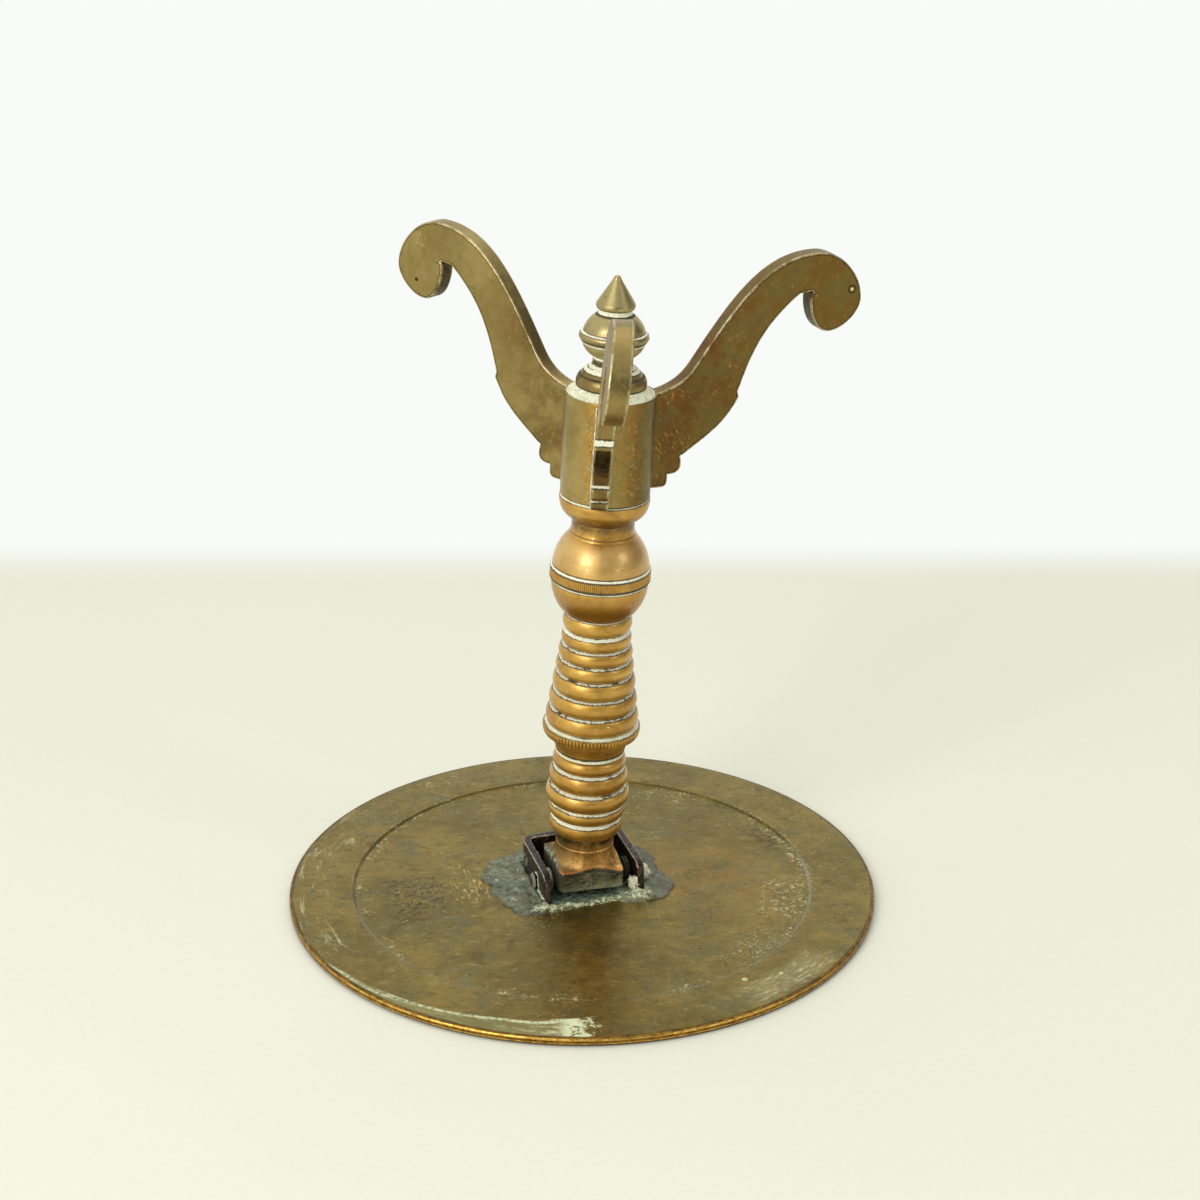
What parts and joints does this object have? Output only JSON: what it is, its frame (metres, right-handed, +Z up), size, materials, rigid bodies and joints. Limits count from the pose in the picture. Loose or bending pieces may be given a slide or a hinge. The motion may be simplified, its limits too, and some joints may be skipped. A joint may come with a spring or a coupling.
{
  "type": "tilting candle reflector",
  "caption": "Round metal reflector disc lying face down, with a ribbed turned stem hinged to its back and scroll legs round a drop finial.",
  "frame": {"origin": "centre of the disc's reflecting face, on the surface that the object lies on", "axes": "+Z up out of the disc's back, +X along the hinge pin, -Y towards the open side of the hinge bracket"},
  "size_m": [0.16, 0.16, 0.1793],
  "materials": {
    "patinated_bronze": "olive brown patina with stains and scratches",
    "dark_iron": "dark oxide, worn light on the edges",
    "stem_brass": "warm orange brass, satin, polish residue in the grooves",
    "leg_brass": "olive brass, satin, aged",
    "foot_copper": "dull copper brown with verdigris",
    "soft_solder": "dull grey soft solder"
  },
  "bodies": {
    "reflector": {"reflector_disc": "patinated_bronze", "hinge_bracket": "dark_iron", "hinge_pin": "dark_iron", "hinge_washer_left": "stem_brass", "hinge_washer_right": "stem_brass", "solder_pool": "soft_solder"},
    "stand": {"foot_block": "foot_copper", "lower_grip": "stem_brass", "knurled_ring": "stem_brass", "upper_grip": "stem_brass", "stem_ball": "stem_brass", "neck_ring": "stem_brass", "collar": "leg_brass", "leg_front": "leg_brass", "leg_right": "leg_brass", "leg_left": "leg_brass", "finial_base": "leg_brass", "finial": "leg_brass", "tie_rod": "dark_iron"}
  },
  "joints": [
    {"name": "reflector_tilt", "type": "hinge", "parent": "reflector", "child": "stand", "pos_m": [-0.0005, -0.0018, 0.005], "axis": [1, 0, 0], "range_deg": [-19.5, 15]}
  ]
}
